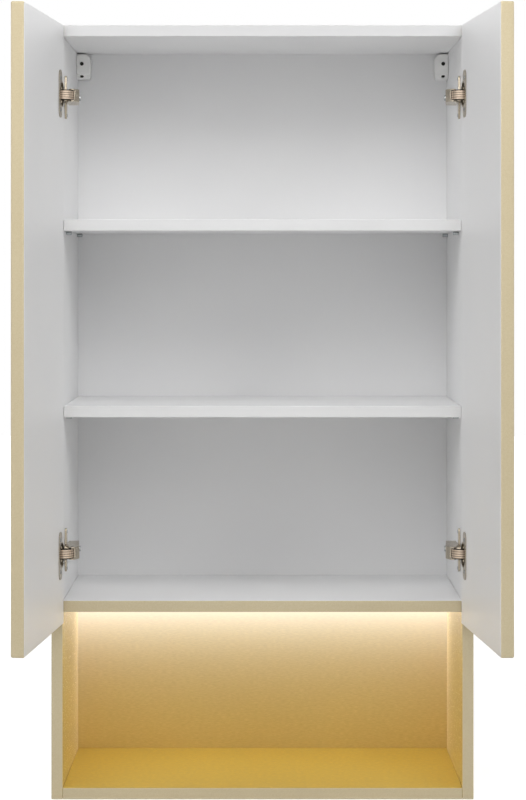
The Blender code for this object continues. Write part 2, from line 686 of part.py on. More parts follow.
def plate_mesh(side):
    # flat on z = 0, x along the cabinet's depth, y along its height
    half = PLATE_WING_SPAN / 2 - PLATE_WING_END
    shoulder = ARM_INSIDE_WIDTH / 2 + ARM_CHEEK
    wings = []
    for sign in (1, -1):
        start = math.pi / 2 * (1 - sign)
        wings += arc((0.0, sign * half), PLATE_WING_END, start, start + math.pi, EYE_STEPS)
        wings += [Vector((-sign * PLATE_WING_WIDTH / 2, along * shoulder)) for along in (sign, -sign)]
    thickness = PLATE_WING_THICKNESS - CLEARANCE
    block_height = PLATE_BLOCK_HEIGHT - CLEARANCE - FUSE_OFFSET
    block_width = ARM_INSIDE_WIDTH - 2 * CLEARANCE
    middle = (PLATE_BLOCK_SHIFT, 0.0)
    footprint = rounded_rectangle(middle, PLATE_BLOCK_LENGTH, block_width, PLATE_BLOCK_CORNER)
    block = outline_mesh(footprint, block_height)
    bore = rod_mesh(ADJUSTER_RADIUS + CLEARANCE, 2 * (ADJUSTER_LENGTH + CLEARANCE))
    return combined_mesh(outline_mesh(wings, thickness), [
        ("UNION", block, Matrix.Translation((0.0, 0.0, FUSE_OFFSET + (block_height - thickness) / 2))),
        ("DIFFERENCE", bore, plate_frame(side).inverted() @ adjuster_frame(side))])


def plate_frame(side):
    seat = mirrored([Vector(((CLEARANCE + PLATE_WING_THICKNESS) / 2, PLATE_SETBACK))], side)[0]
    return Matrix.Translation((*seat, 0.0)) @ Matrix.Rotation(-side * math.pi / 2, 4, "Y") @ Matrix.Rotation(
        -side * math.pi / 2, 4, "Z")


def build_hinges(name, side, door):
    cup_spot = Vector((CUP_CENTRE, EDGE_CLOSED.y)) - INNER_CUP_CLOSED
    corner = Vector((0.0, 0.0))
    upright = Matrix.Identity(4)
    kinds = {
        "arm": (arm_mesh(side), corner, upright),
        "plate": (plate_mesh(side), corner, plate_frame(side)),
        "adjuster": (adjuster_mesh(), corner, adjuster_frame(side)),
        "inner_link": (inner_link_mesh(side), INNER_ARM, upright),
        "outer_link": (outer_link_mesh(side), OUTER_CUP_OPEN, upright)}
    cup = cup_mesh(side)
    for level, height in HINGE_HEIGHTS.items():
        for kind, (mesh, origin, frame) in kinds.items():
            seat = Matrix.Translation(plan_place(side, origin, height)) @ frame
            smooth(make_part(f"hinge_{kind}_{level}_{name}", mesh.copy(), NICKEL, seat))
        cup_seat = Matrix.Translation((-side * cup_spot.x, cup_spot.y, height))
        turn = Matrix.Rotation(-math.pi / 2, 4, "X")
        smooth(make_part(f"hinge_cup_{level}_{name}", cup.copy(), NICKEL, cup_seat @ turn, door))


def build_doors():
    bore_radius = CUP_RADIUS + CLEARANCE
    bore_depth = CUP_DEPTH + CLEARANCE
    for name, side in SIDES.items():
        door = pivot(f"door_pivot_{name}", plan_place(side, INNER_CUP_OPEN, 0.0), side * DOOR_SWING)
        edge = EDGE_CLOSED - INNER_CUP_CLOSED
        faces = sorted((-side * edge.x, -side * (edge.x + DOOR_WIDTH)))
        leaf = box_mesh((faces[0], edge.y - DOOR_THICKNESS, DOOR_LOW_Z), (faces[1], edge.y, TOP_Z))
        slab = make_part(f"door_{name}", leaf, GOLD_PAINT, None, door)
        round_edges(slab, DOOR_EDGE_RADIUS)
        for level, height in HINGE_HEIGHTS.items():
            spot = Vector((-side * (CUP_CENTRE - INNER_CUP_CLOSED.x), edge.y, height))
            bore = make_cutter(f"cut_cup_{level}_{name}", rod_mesh(bore_radius, 2 * bore_depth, CUP_STEPS),
                               Matrix.Translation(spot) @ Matrix.Rotation(math.pi / 2, 4, "X"), door)
            boolean(slab, bore, "DIFFERENCE")
        build_hinges(name, side, door)


# Hangers
HANGER_BACK = BACK_Y - CLEARANCE
HANGER_FRONT = HANGER_BACK - HANGER_DEPTH
HANGER_TOP = TOP_PANEL_Z - HANGER_TOP_GAP
HANGER_LOW = HANGER_TOP - HANGER_HEIGHT
HANGER_TOE = HANGER_FRONT + HANGER_SLOPE_RUN
HANGER_KNEE = HANGER_LOW + HANGER_SLOPE_RISE


def hook_in():
    return SCREW_IN + SCREW_SHANK_RADIUS + CLEARANCE


def hook_top():
    return HANGER_TOP - HOOK_TOP


def side_profile(points, side, near, far):
    # a (depth, height) outline as a slab between two distances from the side panel
    mesh = outline_mesh([Vector(point) for point in points], far - near)
    return mesh, Matrix.Translation((side * (HALF_CLEAR - (near + far) / 2), 0.0, 0.0)) @ ACROSS


def build_housing(name, side):
    wall = HANGER_WALL
    outline = [(HANGER_FRONT, HANGER_TOP), (HANGER_FRONT, HANGER_KNEE), (HANGER_TOE, HANGER_LOW),
               (HANGER_BACK, HANGER_LOW), (HANGER_BACK, HANGER_TOP)]
    mesh, seat = side_profile(outline, side, CLEARANCE, HANGER_WIDTH + CUT_MARGIN)
    housing = make_part(f"hanger_housing_{name}", mesh, WHITE_PLASTIC, seat)
    # seen from the front: a chamfer at the top inner corner and a round below it
    top = HANGER_TOP + CUT_MARGIN
    low = HANGER_LOW
    corner = (HANGER_WIDTH - HANGER_CORNER, low + HANGER_CORNER)
    face = arc(corner, HANGER_CORNER, -math.pi / 2, 0.0, EYE_STEPS // 2)
    face += [Vector((HANGER_WIDTH, HANGER_TOP - HANGER_CHAMFER)),
             Vector((HANGER_WIDTH - HANGER_CHAMFER - CUT_MARGIN, top)), Vector((-CUT_MARGIN, top)),
             Vector((-CUT_MARGIN, low))]
    face = [Vector((side * (HALF_CLEAR - point.x), point.y)) for point in face]
    upright = Matrix.Translation((0.0, HANGER_BACK, 0.0)) @ Matrix.Rotation(math.pi / 2, 4, "X")
    mould = make_cutter(f"cut_hanger_outline_{name}", outline_mesh(face, 3 * HANGER_DEPTH), upright)
    boolean(housing, mould, "INTERSECT")
    round_edges(housing, HANGER_EDGE_RADIUS, 1)
    roof = HANGER_TOP - HANGER_ROOF
    hollow = [(HANGER_FRONT + wall, roof), (HANGER_FRONT + wall, HANGER_KNEE + wall / 2),
              (HANGER_TOE + wall / 2, low + wall), (HANGER_BACK + wall, low + wall),
              (HANGER_BACK + wall, roof)]
    mesh, seat = side_profile(hollow, side, CLEARANCE + wall, HANGER_WIDTH - wall)
    boolean(housing, make_cutter(f"cut_hanger_{name}", mesh, seat), "DIFFERENCE")
    return housing


def build_hanger_screws(name, side, housing):
    x = side * (HALF_CLEAR - SCREW_IN)
    slope = math.atan2(HANGER_SLOPE_RUN, HANGER_SLOPE_RISE)
    face = Vector((x, HANGER_FRONT, HANGER_TOP - HEIGHT_SCREW_DROP))
    chin = Vector((x, (HANGER_FRONT + HANGER_TOE) / 2, (HANGER_LOW + HANGER_KNEE) / 2))
    head = -SCREW_RECESS
    neck = head - SCREW_HEAD_LENGTH
    for kind, mouth, tilt, length in (
            ("height", face, 0.0, HEIGHT_SCREW_LENGTH), ("depth", chin, slope, DEPTH_SCREW_LENGTH)):
        aim = Matrix.Translation(mouth) @ Matrix.Rotation(math.pi / 2 + tilt, 4, "X")
        drill = rod_mesh(SCREW_HEAD_RADIUS + CLEARANCE, 4 * HANGER_WALL, SCREW_STEPS)
        boolean(housing, make_cutter(f"cut_hanger_{kind}_{name}", drill, aim), "DIFFERENCE")
        screw = screw_mesh(head, SCREW_HEAD_RADIUS, neck, SCREW_SHANK_RADIUS, -length)
        smooth(make_part(f"hanger_{kind}_screw_{name}", screw, ZINC_STEEL, aim))


def build_hook(name, side):
    top = hook_top()
    tongue_low = top - HOOK_TONGUE
    seat_z = tongue_low + HOOK_SEAT_RISE
    claw_low = top - HOOK_CLAW_DROP
    front = HANGER_TOE + HANGER_WALL
    rear = HANGER_BACK - CLEARANCE
    seat_front = 2 * CLEARANCE - BACK_RECESS
    claw_back = -HOOK_WALL_GAP
    claw_front = claw_back - HOOK_CLAW
    outline = [(front, top), (front, top - HOOK_HEIGHT), (rear, top - HOOK_HEIGHT), (rear, tongue_low),
               (seat_front, tongue_low), (seat_front, seat_z), (claw_front, seat_z), (claw_front, claw_low),
               (claw_back, claw_low - HOOK_CLAW), (claw_back, top)]
    mesh, seat = side_profile(outline, side, hook_in(), hook_in() + HOOK_THICKNESS)
    make_part(f"hanger_hook_{name}", mesh, ZINC_STEEL, seat)


def build_hangers():
    for name, side in SIDES.items():
        housing = build_housing(name, side)
        build_hanger_screws(name, side, housing)
        build_hook(name, side)


# Light
def light_y():
    return BACK_Y - LIGHT_SETBACK


def cut_light_channel(divider):
    half = PROFILE_WIDTH / 2 + CLEARANCE
    wide = HALF_CLEAR + CUT_MARGIN
    cut_box(divider, "cut_light_channel", (-wide, light_y() - half, DIVIDER_Z - CUT_MARGIN),
            (wide, light_y() + half, DIVIDER_Z + PROFILE_HEIGHT + CLEARANCE))
    boolean(divider, cable_bore(), "DIFFERENCE")


def cable_bore():
    # over the top edge of the niche's back panel
    name = "cut_cable_bore"
    if name not in cutters.objects:
        length = -light_y() + CUT_MARGIN
        spot = Vector((0.0, light_y() + length / 2, DIVIDER_Z + PROFILE_HEIGHT - CABLE_BORE_RADIUS))
        make_cutter(name, rod_mesh(CABLE_BORE_RADIUS, length, EYE_STEPS),
                    Matrix.Translation(spot) @ Matrix.Rotation(math.pi / 2, 4, "X"))
    return cutters.objects[name]


def build_light():
    seat = Matrix.Translation((0.0, light_y(), DIVIDER_Z)) @ ACROSS
    half = PROFILE_WIDTH / 2
    inner = half - PROFILE_WALL
    roof = PROFILE_HEIGHT - PROFILE_WALL
    length = 2 * (HALF_CLEAR - PROFILE_END_GAP)
    channel = [(-half, 0.0), (-half, PROFILE_HEIGHT), (half, PROFILE_HEIGHT), (half, 0.0),
               (inner, 0.0), (inner, roof), (-inner, roof), (-inner, 0.0)]
    profile = make_part("light_profile", outline_mesh([Vector(p) for p in channel], length), ALUMINIUM, seat)
    boolean(profile, cable_bore(), "DIFFERENCE")
    strip_top = DIVIDER_Z + roof - CLEARANCE
    strip_end = length / 2 - STRIP_END_GAP
    make_part("light_strip", box_mesh(
        (-strip_end, light_y() - STRIP_WIDTH / 2, strip_top - STRIP_THICKNESS),
        (strip_end, light_y() + STRIP_WIDTH / 2, strip_top)), CIRCUIT_BOARD)
    lens_half = inner - CLEARANCE
    lens_top = DIFFUSER_THICKNESS + DIFFUSER_CROWN
    lens = [Vector((point.x * lens_half, DIFFUSER_CROWN * (1 - point.y)))
            for point in arc((0.0, 0.0), 1.0, 0.0, math.pi, EYE_STEPS)]
    lens += [Vector((-lens_half, lens_top)), Vector((lens_half, lens_top))]
    make_part("light_diffuser", outline_mesh(lens, length), MILKY_PLASTIC, seat)


clear_scene()
parts = new_collection("wall_cabinet")
cutters = new_collection("cutters")
build_carcass()
build_shelves()
build_doors()
build_hangers()
build_light()
bpy.context.view_layer.update()
for label, point in (("arm", INNER_ARM), ("door", INNER_CUP_OPEN), ("outer link", OUTER_CUP_OPEN)):
    print(label, "pivots", [tuple(plan_place(side, point, 0.0)) for side in SIDES.values()])
for label, turn in (("inner link", INNER_LINK_TURN), ("door", DOOR_SWING), ("outer link", OUTER_LINK_TURN)):
    print(label, "turns", math.degrees(turn), "degrees while the door closes")
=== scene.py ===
import math

import bmesh
import bpy
from mathutils import Matrix, Vector


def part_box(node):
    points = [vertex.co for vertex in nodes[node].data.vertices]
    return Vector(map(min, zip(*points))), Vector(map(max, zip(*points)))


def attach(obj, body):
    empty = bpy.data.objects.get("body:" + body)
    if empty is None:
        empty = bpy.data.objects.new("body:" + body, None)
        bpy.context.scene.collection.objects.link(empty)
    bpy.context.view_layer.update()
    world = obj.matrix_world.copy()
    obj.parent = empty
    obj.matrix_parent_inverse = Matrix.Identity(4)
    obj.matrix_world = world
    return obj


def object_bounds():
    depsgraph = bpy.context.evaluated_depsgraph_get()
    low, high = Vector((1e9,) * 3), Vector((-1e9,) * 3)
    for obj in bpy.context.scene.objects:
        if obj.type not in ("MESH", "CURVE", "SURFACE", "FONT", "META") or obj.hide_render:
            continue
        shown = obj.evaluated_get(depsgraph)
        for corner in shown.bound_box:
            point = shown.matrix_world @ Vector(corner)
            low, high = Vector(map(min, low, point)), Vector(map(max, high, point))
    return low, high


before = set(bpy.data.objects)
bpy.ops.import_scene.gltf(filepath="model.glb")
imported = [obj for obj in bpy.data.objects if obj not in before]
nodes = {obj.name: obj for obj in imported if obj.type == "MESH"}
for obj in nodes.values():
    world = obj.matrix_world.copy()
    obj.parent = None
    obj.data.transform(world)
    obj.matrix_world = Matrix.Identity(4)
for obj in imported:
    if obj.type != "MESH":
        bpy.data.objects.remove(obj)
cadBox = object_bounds()
print("frame loaded:", len(nodes), "nodes")


def linear(hexColour):
    # sRGB hex to the linear colour that shaders and lamps take
    channels = []
    for start in (0, 2, 4):
        value = int(hexColour[start:start + 2], 16) / 255
        channels.append(value / 12.92 if value <= 0.04045 else ((value + 0.055) / 1.055) ** 2.4)
    return (*channels, 1.0)


def perMetre(millimetres):
    # texture scale for a pattern that repeats about every so many millimetres
    return 1000.0 / millimetres


def addNode(tree, kind, inputs=None, **settings):
    # inputs go by socket name or number, and are plain values or the sockets to link
    node = tree.nodes.new(kind)
    for name, value in settings.items():
        setattr(node, name, value)
    for name, value in (inputs or {}).items():
        if isinstance(value, bpy.types.NodeSocket):
            tree.links.new(value, node.inputs[name])
        else:
            node.inputs[name].default_value = value
    return node


# a Mix node has sockets of the same name for each kind of value, so they go by number:
# first input, second input and result
mixSockets = {"RGBA": (6, 7, 2), "FLOAT": (2, 3, 0)}
firstColour, secondColour, mixedColour = mixSockets["RGBA"]
firstNumber, secondNumber, mixedNumber = mixSockets["FLOAT"]


def startMaterial(name):
    material = bpy.data.materials.new(name)
    material.use_nodes = True
    tree = material.node_tree
    tree.nodes.clear()
    return material, tree


def closeMaterial(tree, look, height, bumpMm, edge=None, **plain):
    # look holds the linked sockets, plain holds what is the same all over,
    # and edge is a normal with softened edges
    inputs = {"Height": height, "Distance": bumpMm / 1000, "Strength": 1.0}
    if edge:
        inputs["Normal"] = edge
    relief = addNode(tree, "ShaderNodeBump", inputs)
    shader = addNode(tree, "ShaderNodeBsdfPrincipled", {**look, **plain, "Normal": relief.outputs["Normal"]})
    addNode(tree, "ShaderNodeOutputMaterial", {"Surface": shader.outputs["BSDF"]})


def rampTones(ramp, look, ends=(0.0, 1.0)):
    # shade at one end, body in the middle, glint at the other end
    shade, glint = ramp.elements
    shade.color = linear(look["shade"])
    glint.color = linear(look["glint"])
    shade.position, glint.position = ends
    ramp.elements.new(0.5).color = linear(look["body"])


def driftingTone(tree, amount, look):
    # colour and gloss that drift together, from body to shade
    colour = addNode(tree, "ShaderNodeMix", {
        0: amount, firstColour: linear(look["body"]), secondColour: linear(look["shade"])}, data_type="RGBA")
    rough = addNode(tree, "ShaderNodeMapRange", {
        "Value": amount, "To Min": look["roughness"][0], "To Max": look["roughness"][1]})
    return colour.outputs[mixedColour], rough.outputs["Result"]


# Every finish takes the piece's own coordinates, so that its pattern stays on a door that swings,
# and gives colour, roughness, relief, metallic and the strength of a painted glow.

# Champagne lacquer on MDF, sprayed with fine mica: soft satin gold with a grainy sparkle
champagneLacquer = {
    "body": "c7b998", "shade": "c2b392", "glint": "ccbfa0",
    "flakeMm": 1.1,  # real mica is 0.05 mm, drawn coarse enough to show
    "flakeShare": 0.55, "flakeFrom": 0.22,  # how much of the ramp a flake covers, and where it starts
    "cloudMm": 90, "cloudShare": 0.5, "peelMm": 2.5,
    "metallic": 0.12, "roughness": (0.40, 0.50)}


def champagneFinish(tree, spot):
    look = champagneLacquer
    flake = addNode(tree, "ShaderNodeTexVoronoi", {"Vector": spot, "Scale": perMetre(look["flakeMm"])})
    flakeTone = addNode(tree, "ShaderNodeSeparateColor", {"Color": flake.outputs["Color"]})
    cloud = addNode(tree, "ShaderNodeTexNoise", {
        "Vector": spot, "Scale": perMetre(look["cloudMm"]), "Detail": 3.0})
    tone = addNode(tree, "ShaderNodeMath", {
        0: flakeTone.outputs["Red"], 1: look["flakeShare"], 2: look["flakeFrom"]}, operation="MULTIPLY_ADD")
    drift = addNode(tree, "ShaderNodeMath", {
        0: cloud.outputs["Fac"], 1: look["cloudShare"], 2: -look["cloudShare"] / 2}, operation="MULTIPLY_ADD")
    blend = addNode(tree, "ShaderNodeMath", {
        0: tone.outputs["Value"], 1: drift.outputs["Value"]}, operation="ADD")
    colour = addNode(tree, "ShaderNodeValToRGB", {"Fac": blend.outputs["Value"]})
    rampTones(colour.color_ramp, look)
    rough = addNode(tree, "ShaderNodeMapRange", {
        "Value": flakeTone.outputs["Green"], "To Min": look["roughness"][0], "To Max": look["roughness"][1]})
    peel = addNode(tree, "ShaderNodeTexNoise", {
        "Vector": spot, "Scale": perMetre(look["peelMm"]), "Detail": 1.0})
    return colour.outputs["Color"], rough.outputs["Result"], peel.outputs["Fac"], look["metallic"], 0.0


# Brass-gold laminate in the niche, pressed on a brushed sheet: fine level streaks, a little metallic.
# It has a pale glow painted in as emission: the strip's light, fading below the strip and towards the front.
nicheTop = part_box("divider_panel")[0].z
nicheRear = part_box("back_panel_niche")[0].y
brushedGold = {
    "body": "dcc47a", "shade": "d4bc72", "glint": "e4cc84",
    "paintedGlow": 1.45, "paintedGlowMm": (80, 45),  # strength, and how far it reaches forward and down
    "rearSlackMm": 1,  # no painted glow further back than this, behind the panel
    "streakMm": (7.0, 1.0),  # real brush lines are 0.1 mm, drawn as fine as the picture can show
    "streakEnds": (0.3, 0.7), "relief": 1.0,
    "metallic": 0.12, "roughness": (0.40, 0.50)}
# the same laminate on the niche floor, more metallic and deeper: the deeper tone is painted gold bounce light
deepGold = {**brushedGold, "body": "d3b753", "shade": "cbaf4b", "glint": "dbbf5d", "metallic": 0.3}
# and on the niche sides, seen almost edge on: glossier and smoother, and paler as painted light; weaker glow,
# further from the strip
sideGold = {
    **brushedGold, "body": "e6d086", "shade": "dec87e", "glint": "eed890",
    "paintedGlow": 0.45, "paintedGlowMm": (80, 170), "relief": 0.1, "roughness": (0.2, 0.28)}


def brushedFinish(tree, spot, look=brushedGold):
    long, fine = look["streakMm"]
    stretched = addNode(tree, "ShaderNodeMapping", {
        "Vector": spot, "Scale": (perMetre(long), perMetre(long), perMetre(fine))})
    streak = addNode(tree, "ShaderNodeTexNoise", {
        "Vector": stretched.outputs["Vector"], "Scale": 1.0, "Detail": 4.0, "Roughness": 0.6})
    colour = addNode(tree, "ShaderNodeValToRGB", {"Fac": streak.outputs["Fac"]})
    rampTones(colour.color_ramp, look, look["streakEnds"])
    rough = addNode(tree, "ShaderNodeMapRange", {
        "Value": streak.outputs["Fac"], "From Min": look["streakEnds"][0], "From Max": look["streakEnds"][1],
        "To Min": look["roughness"][0], "To Max": look["roughness"][1]})
    relief = addNode(tree, "ShaderNodeMath", {
        0: streak.outputs["Fac"], 1: look["relief"]}, operation="MULTIPLY")
    # painted glow: emission strongest just below the strip and at the rear, standing in for the strip's light
    place = addNode(tree, "ShaderNodeSeparateXYZ", {"Vector": spot})
    forward, down = (perMetre(reach) for reach in look["paintedGlowMm"])
    low = addNode(tree, "ShaderNodeMath", {
        0: place.outputs["Z"], 1: down, 2: -nicheTop * down}, operation="MULTIPLY_ADD")
    near = addNode(tree, "ShaderNodeMath", {
        0: place.outputs["Y"], 1: forward, 2: -nicheRear * forward}, operation="MULTIPLY_ADD")
    away = addNode(tree, "ShaderNodeMath", {
        0: low.outputs["Value"], 1: near.outputs["Value"]}, operation="ADD")
    fade = addNode(tree, "ShaderNodeMath", {0: away.outputs["Value"]}, operation="EXPONENT")
    inside = addNode(tree, "ShaderNodeMath", {
        0: place.outputs["Y"], 1: nicheRear + look["rearSlackMm"] / 1000}, operation="LESS_THAN")
    lit = addNode(tree, "ShaderNodeMath", {
        0: inside.outputs["Value"], 1: look["paintedGlow"]}, operation="MULTIPLY")
    paintedGlow = addNode(tree, "ShaderNodeMath", {
        0: fade.outputs["Value"], 1: lit.outputs["Value"]}, operation="MULTIPLY")
    return (colour.outputs["Color"], rough.outputs["Result"], relief.outputs["Value"], look["metallic"],
            paintedGlow.outputs["Value"])


def floorFinish(tree, spot):
    return brushedFinish(tree, spot, deepGold)


def nicheSideFinish(tree, spot):
    return brushedFinish(tree, spot, sideGold)


# Melamine faced board, pressed against a pearl plate: even cool white with a very fine grain
whiteMelamine = {
    "body": "f3f3f3", "shade": "efeff0",
    "pearlMm": 1.2,  # the real pearl is 0.4 mm, drawn coarser to show
    "cloudMm": 140, "roughness": (0.38, 0.46)}


def melamineFinish(tree, spot):
    look = whiteMelamine
    pearl = addNode(tree, "ShaderNodeTexNoise", {
        "Vector": spot, "Scale": perMetre(look["pearlMm"]), "Detail": 2.0})
    cloud = addNode(tree, "ShaderNodeTexNoise", {
        "Vector": spot, "Scale": perMetre(look["cloudMm"]), "Detail": 2.0})
    colour = addNode(tree, "ShaderNodeMix", {
        0: cloud.outputs["Fac"], firstColour: linear(look["body"]), secondColour: linear(look["shade"])},
        data_type="RGBA")
    rough = addNode(tree, "ShaderNodeMapRange", {
        "Value": pearl.outputs["Fac"], "To Min": look["roughness"][0], "To Max": look["roughness"][1]})
    return colour.outputs[mixedColour], rough.outputs["Result"], pearl.outputs["Fac"], 0.0, 0.0


# ABS edge band, extruded and glued to each white board's front: smoother than the face, and greyer as painted
# shade
shelfBand = {"body": "e6e6e6", "shade": "e2e2e3", "drawMm": (40.0, 1.0), "roughness": (0.30, 0.38)}
# the band on the top panel is greyer still, a painted shade for the stronger light on the top front
topBand = {**shelfBand, "body": "d3d3d3", "shade": "cfcfd0"}


def bandFinish(tree, spot, look=shelfBand):
    long, fine = look["drawMm"]
    stretched = addNode(tree, "ShaderNodeMapping", {
        "Vector": spot, "Scale": (perMetre(long), perMetre(fine), perMetre(fine))})
    draw = addNode(tree, "ShaderNodeTexNoise", {
        "Vector": stretched.outputs["Vector"], "Scale": 1.0, "Detail": 2.0})
    colour, rough = driftingTone(tree, draw.outputs["Fac"], look)
    return colour, rough, draw.outputs["Fac"], 0.0, 0.0


def topBandFinish(tree, spot):
    return bandFinish(tree, spot, topBand)


# Hardboard, pressed from wood fibre and left raw: matt brown with short fibres and flecks
rawHardboard = {
    "body": "8f6b47", "shade": "7a5838", "fibreMm": (6.0, 1.5), "roughness": (0.75, 0.9)}


def hardboardFinish(tree, spot):
    long, fine = rawHardboard["fibreMm"]
    stretched = addNode(tree, "ShaderNodeMapping", {
        "Vector": spot, "Scale": (perMetre(long), perMetre(long), perMetre(fine))})
    fibre = addNode(tree, "ShaderNodeTexNoise", {
        "Vector": stretched.outputs["Vector"], "Scale": 1.0, "Detail": 5.0, "Roughness": 0.65,
        "Distortion": 0.8})
    colour, rough = driftingTone(tree, fibre.outputs["Fac"], rawHardboard)
    return colour, rough, fibre.outputs["Fac"], 0.0, 0.0


# faceCosine tells a face from its edges; the glow colours are for the glow painted on the niche's back and
# sides
boardShine = {"IOR": 1.5, "reliefMm": 0.05, "faceCosine": 0.9, "paintedGlow": "d4e8ff", "sidePaintedGlow": "fff0dc"}


def coverFinish(tree, mask, under, over):
    # one finish over another where the mask is 1; a number that both share needs no mixing
    mixed = []
    for lower, upper in zip(under, over):
        if isinstance(lower, float) and lower == upper:
            mixed.append(lower)
            continue
        kind = "FLOAT" if mixed else "RGBA"  # the colour comes first
        first, second, result = mixSockets[kind]
        blend = addNode(tree, "ShaderNodeMix", {0: mask, first: lower, second: upper}, data_type=kind)
        mixed.append(blend.outputs[result])
    return mixed


belowAll = -1.0  # a height in metres that is lower than every board


def facedBoard(name, allOver, face, facing, fromHeight=belowAll, below=None, paintedGlowColour=boardShine["paintedGlow"]):
    # a board with another finish on the face that looks along facing, above fromHeight;
    # below, if given, is the finish of that face under fromHeight
    material, tree = startMaterial(name)
    place = addNode(tree, "ShaderNodeTexCoord")
    spot = place.outputs["Object"]
    along = addNode(tree, "ShaderNodeVectorMath", {
        0: place.outputs["Normal"], 1: facing}, operation="DOT_PRODUCT")
    onFace = addNode(tree, "ShaderNodeMath", {
        0: along.outputs["Value"], 1: boardShine["faceCosine"]}, operation="GREATER_THAN")
    height = addNode(tree, "ShaderNodeSeparateXYZ", {"Vector": spot})
    layers = [(face, "GREATER_THAN")]
    if below:
        layers.append((below, "LESS_THAN"))
    mixed = allOver(tree, spot)
    for finish, compare in layers:
        part = addNode(tree, "ShaderNodeMath", {0: height.outputs["Z"], 1: fromHeight}, operation=compare)
        mask = addNode(tree, "ShaderNodeMath", {
            0: onFace.outputs["Value"], 1: part.outputs["Value"]}, operation="MULTIPLY")
        mixed = coverFinish(tree, mask.outputs["Value"], mixed, finish(tree, spot))
    colour, rough, relief, metallic, paintedGlow = mixed
    # the painted glow of the niche leaves as emission
    look = {"Base Color": colour, "Roughness": rough, "Metallic": metallic,
            "Emission Strength": paintedGlow, "Emission Color": linear(paintedGlowColour)}
    closeMaterial(tree, look, relief, boardShine["reliefMm"], IOR=boardShine["IOR"])
    return material


def dress(material, *names):
    for name in names:
        nodes[name].material_slots[0].material = material


# Boards: gold outside and round the niche, white inside the cupboard
toFront, toRear, upwards = (0, -1, 0), (0, 1, 0), (0, 0, 1)
boardFinishes = (
    ("melamine_with_abs_edge", melamineFinish, bandFinish, toFront, ("shelf_lower", "shelf_upper")),
    ("melamine_with_thick_abs_edge", melamineFinish, topBandFinish, toFront, ("top_panel",)),
    ("lacquer_sprayed_gold_floor", champagneFinish, floorFinish, upwards, ("bottom_panel",)),
    ("lacquer_with_melamine_top", champagneFinish, melamineFinish, upwards, ("divider_panel",)),
    ("melamine_with_hardboard_rear", melamineFinish, hardboardFinish, toRear, ("back_panel_upper",)),
    ("brushed_gold_with_hardboard_rear", brushedFinish, hardboardFinish, toRear, ("back_panel_niche",)))
for name, allOver, face, facing, boards in boardFinishes:
    dress(facedBoard(name, allOver, face, facing), *boards)

dividerMiddle = sum(corner.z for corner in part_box("divider_panel")) / 2
doorSwing = math.radians(95)  # how far the doors stand open at rest
for side, inward in (("left", 1), ("right", -1)):
    dress(facedBoard(f"lacquer_and_melamine_{side}", champagneFinish, melamineFinish, (inward, 0, 0),
                     dividerMiddle, nicheSideFinish, boardShine["sidePaintedGlow"]), f"side_panel_{side}")
    doorInside = (inward * math.sin(doorSwing), math.cos(doorSwing), 0)
    dress(facedBoard(f"lacquer_sprayed_door_{side}", champagneFinish, melamineFinish, doorInside),
          f"door_{side}")
print("boards finished")


def metal(name, look, pattern=None):
    # plated or bare metal: a tone that drifts a little, a grain in the gloss, soft edges and painted shade in
    # crevices
    material, tree = startMaterial(name)
    spot = addNode(tree, "ShaderNodeTexCoord").outputs["Object"]
    stretched = addNode(tree, "ShaderNodeMapping", {
        "Vector": spot, "Scale": tuple(perMetre(size) for size in look["grainMm"])})
    grain = addNode(tree, "ShaderNodeTexNoise", {
        "Vector": stretched.outputs["Vector"], "Scale": 1.0, "Detail": 3.0})
    colour, rough = driftingTone(tree, grain.outputs["Fac"], look)
    if pattern:
        colour = pattern(tree, colour)
    # painted shade: ambient occlusion darkens the colour in crevices and gaps
    creviceShade = addNode(tree, "ShaderNodeAmbientOcclusion", {
        "Color": colour, "Distance": look["creviceMm"] / 1000})
    soft = addNode(tree, "ShaderNodeBevel", {"Radius": look["edgeMm"] / 1000})
    closeMaterial(tree, {"Base Color": creviceShade.outputs["Color"], "Roughness": rough},
                  grain.outputs["Fac"], look["reliefMm"], soft.outputs["Normal"], Metallic=1.0)
    return material


# Nickel plated steel, stamped: warm grey mirror, softened by the press
nickelPlate = metal("nickel_plated_steel_stamped", {
    "body": "cdc2b0", "shade": "b1a592", "grainMm": (3.0, 3.0, 1.0), "roughness": (0.22, 0.34),
    "reliefMm": 0.02, "creviceMm": 1.5, "edgeMm": 0.4})
# painted shade between the ribs of the tongue and a painted shadow along its rim; the tongue's pin is spanMm
# long, and a groove starts where the wave over the ribs passes grooveFrom
ribShade = {
    "tone": "4a423a", "rim": "1c1916", "spanMm": 17.2, "pitchMm": 3.2, "rimFromMm": 6.2,
    "grooveFrom": 0.2, "grooveMost": 0.8}


